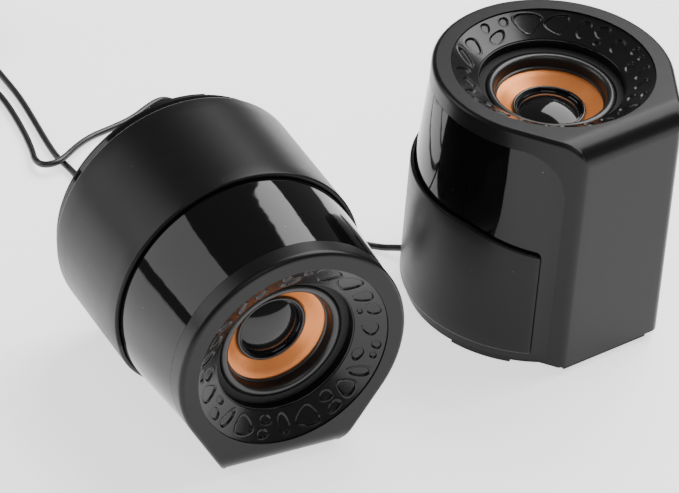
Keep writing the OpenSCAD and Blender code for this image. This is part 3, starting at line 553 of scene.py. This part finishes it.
# %% Funnel trim
def funnel_trim():
    """Fine polar sheet for the slope, with the throat's wall and the hidden edge as plain rows."""
    around, across_n = 960, 52
    angles = np.linspace(0, 2 * math.pi, around, endpoint=False)
    top_r, top_d = RECESS_R - 0.1, 0.7
    edge_r, edge_d, throat_in = 38.0, 2.2, THROAT_R - 0.35
    run, drop = top_r - THROAT_R, THROAT_Z - top_d
    span = math.hypot(run, drop)
    rows = [[(r * math.cos(a), r * math.sin(a), DEPTH - edge_d) for a in angles]
            for r in (edge_r, top_r)]
    for j in range(across_n + 1):
        up = span * (1 - j / across_n)
        fade = min(1, (span - up) / 0.5, up / 0.5)
        h = pebble_height(angles, np.full(angles.shape, up)) * max(0, fade)
        r = THROAT_R + run * up / span
        d = THROAT_Z - drop * up / span
        nr, nd = -drop / span, -run / span
        rows.append([((r + h[i] * nr) * math.cos(a), (r + h[i] * nr) * math.sin(a),
                      DEPTH - (d + h[i] * nd)) for i, a in enumerate(angles)])
    for k in range(1, 6):
        b = math.radians(18 * k)
        r = throat_in + 0.35 * math.cos(b)
        d = THROAT_Z + 0.5 * math.sin(b)
        rows.append([(r * math.cos(a), r * math.sin(a), DEPTH - d) for a in angles])
    rows.append([(throat_in * math.cos(a), throat_in * math.sin(a), DEPTH - 9.5) for a in angles])
    return clean(rows_mesh("trim", rows), 45, turn_out=False)


trim = funnel_trim()
print("trim has", len(trim.data.polygons), "faces")

# %% [markdown]
# ## Driver
# Turned pieces: a rubber surround with a half roll, a conical ring in copper-coloured lacquer, and a
# glossy dust cap whose bead covers the glued joint.

# %% Driver
def arc(cx, cd, r, a0, a1, n, squash=1.0):
    """Points of an arc in a profile; angles in degrees, 90 towards the front."""
    out = []
    for i in range(n + 1):
        a = math.radians(a0 + (a1 - a0) * i / n)
        out.append((cx + r * math.cos(a), cd - r * squash * math.sin(a)))
    return out


roll_mid = (CONE_R + 0.2 + THROAT_R - 3.1) / 2
half_roll = (THROAT_R - 3.1 - CONE_R - 0.2) / 2
roll_d = 11.0
surround_profile = (
    [(THROAT_R - 0.4, 11.2), (THROAT_R - 0.4, 10.65), (THROAT_R - 2.6, 10.6), (THROAT_R - 2.95, 10.8)]
    + arc(roll_mid, roll_d, half_roll, 8, 172, 18, 1.1)
    + [(CONE_R - 0.1, 13.1), (CONE_R - 0.5, 13.32), (CONE_R - 0.7, 13.5), (CONE_R - 0.7, 13.79),
       (CONE_R + 0.25, 13.79)]
    + arc(roll_mid, roll_d, half_roll - 0.6, 172, 8, 14, 1.1)
    + [(THROAT_R - 2.9, 11.2)])
surround = spun("surround", surround_profile, steps=144)
gasket = spun("gasket", [(THROAT_R - 0.4, 9.6), (THROAT_R - 2.6, 9.6), (THROAT_R - 3.0, 9.8),
                         (THROAT_R - 3.0, 10.55), (THROAT_R - 0.4, 10.55)], steps=128)


def cone_depth(r):
    """Depth of the cone's front surface."""
    return CONE_Z + (CONE_R - r) * SLOPE


cone_profile = [(CONE_R, cone_depth(CONE_R) + 0.5), (CONE_R, cone_depth(CONE_R) + 0.1),
                (CONE_R - 0.15, cone_depth(CONE_R - 0.15)), (16, cone_depth(16)), (13, cone_depth(13)),
                (10.3, cone_depth(10.3)), (10.3, cone_depth(10.3) + 0.5)]
cone = spun("cone", cone_profile, steps=144)

cap_r, bead = 11.3, 1.1
lip = cone_depth(cap_r + 1.5)
base_d = cone_depth(cap_r) - 0.4
dome_base, dome_h = cap_r - 0.3, 3.2
dome_r = (dome_base ** 2 + dome_h ** 2) / (2 * dome_h)
tip = math.degrees(math.asin(dome_base / dome_r))
cap_profile = (
    [(cap_r + 1.5, lip), (cap_r + 1.5, lip - 0.35)]
    + arc(cap_r + 0.8, lip - 0.4, 0.7, 0, 180, 10)
    + [(cap_r + 0.08, base_d - 0.2), (cap_r - 0.1, base_d)]
    + arc(0, base_d - dome_h + dome_r, dome_r, 90 - tip, 89.7, 20)
    + arc(0, base_d - dome_h + dome_r, dome_r - 0.4, 89.7, 90 - tip, 8))
dust_cap = spun("dust_cap", cap_profile, steps=144, angle=40)

# %% [markdown]
# ## Volume knob
# Only the back of the left cabinet carries it. A turned knob with fine ribs: one rib is made and
# repeated round the rim.

# %% Volume knob
def volume_knob():
    """Ribbed knob round the cabinet's axis, moved to its place on the back."""
    z0, knob_up = 0.7, 12
    ribs_n, rib_ring, rib_r, rib_length = 36, 7.0, 0.32, 5.6
    prof = [(0.02, DEPTH - z0), (7.2, DEPTH - z0), (7.25, DEPTH - z0 + 0.3)]
    prof += [(6.95, DEPTH - z0 + 6.3), (6.6, DEPTH - z0 + 6.8), (6.1, DEPTH - z0 + 7.0),
             (0.02, DEPTH - z0 + 6.9)]
    body = spun("knob", prof, steps=96)
    ribs = []
    for i in range(ribs_n):
        a = 2 * math.pi * i / ribs_n
        at = (rib_ring * MM * math.cos(a), rib_ring * MM * math.sin(a), (z0 - 3.3) * MM)
        bpy.ops.mesh.primitive_cylinder_add(vertices=10, radius=rib_r * MM, depth=rib_length * MM,
                                            location=at)
        ribs.append(bpy.context.object)
    pick(body)
    for rib in ribs:
        rib.select_set(True)
    bpy.ops.object.join()
    body.data.transform(Matrix.Translation((0, knob_up * MM, 0)))
    return body


knob = volume_knob()
knob.matrix_world = laid("left")
pick(knob)
bpy.ops.object.shade_smooth_by_angle(angle=math.radians(35))
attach(knob, "knob")
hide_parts("volume_knob")

# %% [markdown]
# ## Materials
# Everything is procedural and follows the piece, so it stays put when the piece moves. A small wrapper
# lets the shader's maths be written as ordinary expressions.

# %% Shader maths
class Val:
    """A socket's value that can be added, multiplied and passed on."""

    def __init__(self, tree, socket):
        self.tree, self.socket = tree, socket

    def math(self, op, a, b=0.0):
        n = self.tree.nodes.new("ShaderNodeMath")
        n.operation = op
        for i, v in enumerate((a, b)):
            if isinstance(v, Val):
                self.tree.links.new(v.socket, n.inputs[i])
            else:
                n.inputs[i].default_value = v
        return Val(self.tree, n.outputs[0])

    def __add__(self, other):
        return self.math("ADD", self, other)

    __radd__ = __add__

    def __sub__(self, other):
        return self.math("SUBTRACT", self, other)

    def __mul__(self, other):
        return self.math("MULTIPLY", self, other)

    def __gt__(self, other):
        return self.math("GREATER_THAN", self, other)

    def node(self, kind, output=0, **values):
        """Any other node; keyword names are input names with _ for a space, or the node's settings."""
        n = self.tree.nodes.new(kind)
        for key, v in values.items():
            name = key.replace("_", " ")
            if name in n.inputs:
                if isinstance(v, Val):
                    self.tree.links.new(v.socket, n.inputs[name])
                else:
                    n.inputs[name].default_value = v
            else:
                setattr(n, key, v)
        return Val(self.tree, n.outputs[output])


def new_material(name):
    """Material with a Principled shader; returns it, the shader and the object coordinates."""
    mat = bpy.data.materials.new(name)
    mat.use_nodes = True
    tree = mat.node_tree
    shader = tree.nodes["Principled BSDF"]
    coords = tree.nodes.new("ShaderNodeTexCoord")
    return mat, shader, Val(tree, coords.outputs["Object"])


def feed(shader, name, value):
    """Links a varying value, or sets a constant, on a shader input."""
    if isinstance(value, Val):
        value.tree.links.new(value.socket, shader.inputs[name])
    else:
        shader.inputs[name].default_value = value


def bump(at, height, distance, strength=1.0):
    """A Bump node's normal from a height in 0..1 and a distance in metres."""
    return at.node("ShaderNodeBump", Height=height, Distance=distance, Strength=strength)


def noise(at, scale, detail=2.0, rough=0.5):
    """Noise in object space; scale is in features per metre."""
    return at.node("ShaderNodeTexNoise", Vector=at, Scale=scale, Detail=detail, Roughness=rough)

# %% [markdown]
# ## Plastics
# Black plastic is dark grey at heart. What tells the mouldings apart is the skin: the barrel is polished,
# the bezel and the funnel are semi-gloss, the sleeve has a fine spark-eroded grain.
# A few dust specks sit on the polished skin, as they always do.

# %% Plastics
def plastic(name, shade, rough, spread, scale, depth, detail=2, dust=0.0, shine=0.5):
    """Black plastic whose skin is a noise of the given scale, depth and detail, with dust if asked."""
    mat, shader, at = new_material(name)
    mottled = noise(at, 220, 3)
    feed(shader, "Base Color", (shade, shade, shade * 1.05, 1))
    feed(shader, "Roughness", rough + (mottled - 0.5) * spread)
    feed(shader, "Specular IOR Level", shine)
    feed(shader, "Normal", bump(at, noise(at, scale, detail), depth))
    if dust:
        cells = at.node("ShaderNodeTexVoronoi", 0, Vector=at, Scale=210.0)
        patchy = noise(at, 150, 0)
        speck = at.math("LESS_THAN", cells, 0.035) * (patchy > 0.58)
        mix = at.node("ShaderNodeMix", 2, data_type="RGBA")
        mixer = mix.socket.node
        mixer.inputs[6].default_value = (shade, shade, shade * 1.05, 1)
        mixer.inputs[7].default_value = (0.32, 0.31, 0.3, 1)
        at.tree.links.new((speck * dust).socket, mixer.inputs[0])
        feed(shader, "Base Color", mix)
    return mat


def plain(name, colour, rough, metallic=0.0, grain=0.0, scale=3000, spread=0.08):
    """A simple surface with mottled roughness and, if asked, a fine grain."""
    mat, shader, at = new_material(name)
    feed(shader, "Base Color", (*colour, 1))
    feed(shader, "Metallic", metallic)
    feed(shader, "Roughness", rough + (noise(at, 400, 3) - 0.5) * spread)
    if grain:
        feed(shader, "Normal", bump(at, noise(at, scale, 3), grain))
    return mat


gloss = plastic("polished_black", 0.003, 0.05, 0.04, scale=160, depth=0.00003, detail=1,
                dust=0.6, shine=0.28)
semi = plastic("semi_gloss_black", 0.006, 0.3, 0.06, scale=5200, depth=0.000006, shine=0.22)
funnel_mat = plastic("funnel_black", 0.006, 0.2, 0.06, scale=4200, depth=0.000004, shine=0.34)
satin = plastic("satin_black", 0.006, 0.34, 0.08, scale=6500, depth=0.000012, dust=0.4, shine=0.2)
cap_mat = plastic("cap_black", 0.006, 0.07, 0.03, scale=160, depth=0.000015, detail=1, shine=0.4)
rubber = plain("rubber", (0.012, 0.012, 0.012), 0.33, grain=0.000006)
foam = plain("foam", (0.01, 0.01, 0.01), 0.85, grain=0.00005, scale=2500)
lead_mat = plain("lead_pvc", (0.012, 0.012, 0.013), 0.34, grain=0.000008)
nickel = plain("nickel", (0.66, 0.64, 0.61), 0.22, 1.0)
gold = plain("gold", (0.83, 0.62, 0.27), 0.2, 1.0)
black_steel = plain("black_steel", (0.06, 0.06, 0.065), 0.38, 1.0)

# %% [markdown]
# ## Copper lacquer
# The cone's ring is lacquered paper or foil: orange, half metallic, with a fine sparkle and a faint
# unevenness that runs with it.

# %% Copper lacquer
def copper():
    """Orange, half metallic lacquer that varies in clouds and fine sparks."""
    mat, shader, at = new_material("copper_lacquer")
    cloud = noise(at, 260, 4, 0.6)
    spark = noise(at, 5200, 2, 0.7)
    mix = at.node("ShaderNodeMix", 2, data_type="RGBA")
    mixer = mix.socket.node
    mixer.inputs[6].default_value = (0.72, 0.2, 0.045, 1)
    mixer.inputs[7].default_value = (0.9, 0.32, 0.085, 1)
    at.tree.links.new((cloud * 0.5 + spark * 0.5).socket, mixer.inputs[0])
    feed(shader, "Base Color", mix)
    feed(shader, "Metallic", 0.45)
    feed(shader, "Roughness", 0.36 + (spark - 0.5) * 0.15)
    feed(shader, "Normal", bump(at, spark, 0.00002))
    return mat


copper_mat = copper()

# %% [markdown]
# ## Finishes
# Each piece gets its finish and is then laid in both cabinets. The pieces of the working model that stay
# in sight, such as covers, screws, glands and plugs, take the same finishes.

# %% Giving each piece its finish
def finish(obj, mat):
    """Puts one material on a piece."""
    obj.data.materials.clear()
    obj.data.materials.append(mat)
    return obj


finish(bezel, semi)
finish(barrel, gloss)
finish(sleeve, satin)
finish(trim, funnel_mat)
finish(surround, rubber)
finish(gasket, foam)
finish(cone, copper_mat)
finish(dust_cap, cap_mat)
finish(knob, satin)
for lead in leads.values():
    finish(lead, lead_mat)
place_pair(bezel, "cabinets", "front_bezel")
place_pair(barrel, "cabinets", "barrel")
place_pair(sleeve, "cabinets", "rear_sleeve")
place_pair(trim, "cabinets", "funnel_trim")
place_pair(surround, "cabinets", "surround")
place_pair(gasket, "cabinets", "gasket")
place_pair(cone, "cone", "cone")
place_pair(dust_cap, "cone", "dust_cap")


def refinish(node, mat):
    """Gives a piece of the working model one of the materials above."""
    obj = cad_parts[node]
    for s in obj.material_slots:
        s.material = mat


for side in SIDES:
    refinish("rear_cover_" + side, satin)
refinish("cover_screws", black_steel)
for node in ("lead_gland", "aux_gland", "link_gland_left", "link_gland_right"):
    refinish(node, lead_mat)
for node in ("usb_plug_body", "audio_plug_body", "coil_ties"):
    refinish(node, satin)
refinish("usb_plug_shell", nickel)
refinish("audio_plug_pin", gold)

# %% [markdown]
# ## Studio
# A white sheet that glows a little, a soft light on the left, a broad one above and behind, and a weak
# fill in front. The black plastic shows them as bands with dark between, which gives the round bodies
# their shape.

# %% Studio
bpy.ops.mesh.primitive_plane_add(size=6, location=(0, 0.6, -0.0004))
floor = bpy.context.object
floor.name = "floor"
floor_mat, floor_shader, _ = new_material("white_sheet")
feed(floor_shader, "Base Color", (0.94, 0.94, 0.94, 1))
feed(floor_shader, "Roughness", 0.6)
feed(floor_shader, "Emission Color", (1, 1, 1, 1))
feed(floor_shader, "Emission Strength", 1.4)
finish(floor, floor_mat)
floor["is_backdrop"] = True


def soft_light(name, place, target, width, height, power):
    """A rectangular soft box that faces a target."""
    data = bpy.data.lights.new(name, "AREA")
    data.shape = "RECTANGLE"
    data.size, data.size_y, data.energy = width, height, power
    obj = bpy.data.objects.new(name, data)
    obj.location = place
    aim = Vector(target) - Vector(place)
    obj.rotation_euler = aim.to_track_quat("-Z", "Y").to_euler()
    bpy.context.scene.collection.objects.link(obj)


soft_light("left_box", (-1.4, 0.1, 0.7), (0, 0, 0.05), 1.0, 1.0, 9)
soft_light("top_box", (0.75, 1.0, 1.6), (0, 0, 0.05), 1.9, 1.4, 60)
soft_light("front_box", (0.3, -1.5, 1.9), (0, 0, 0.0), 1.6, 1.0, 9)
world = bpy.data.worlds.new("studio")
world.use_nodes = True
world.node_tree.nodes["Background"].inputs[0].default_value = (1, 1, 1, 1)
world.node_tree.nodes["Background"].inputs[1].default_value = 0.2
bpy.context.scene.world = world

# %% Finish
def plain_list(value):
    """Bounds as lists of numbers."""
    return [plain_list(v) for v in value] if hasattr(value, "__len__") else float(value)


{"frame": plain_list(first_bounds), "with_looks": plain_list(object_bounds())}
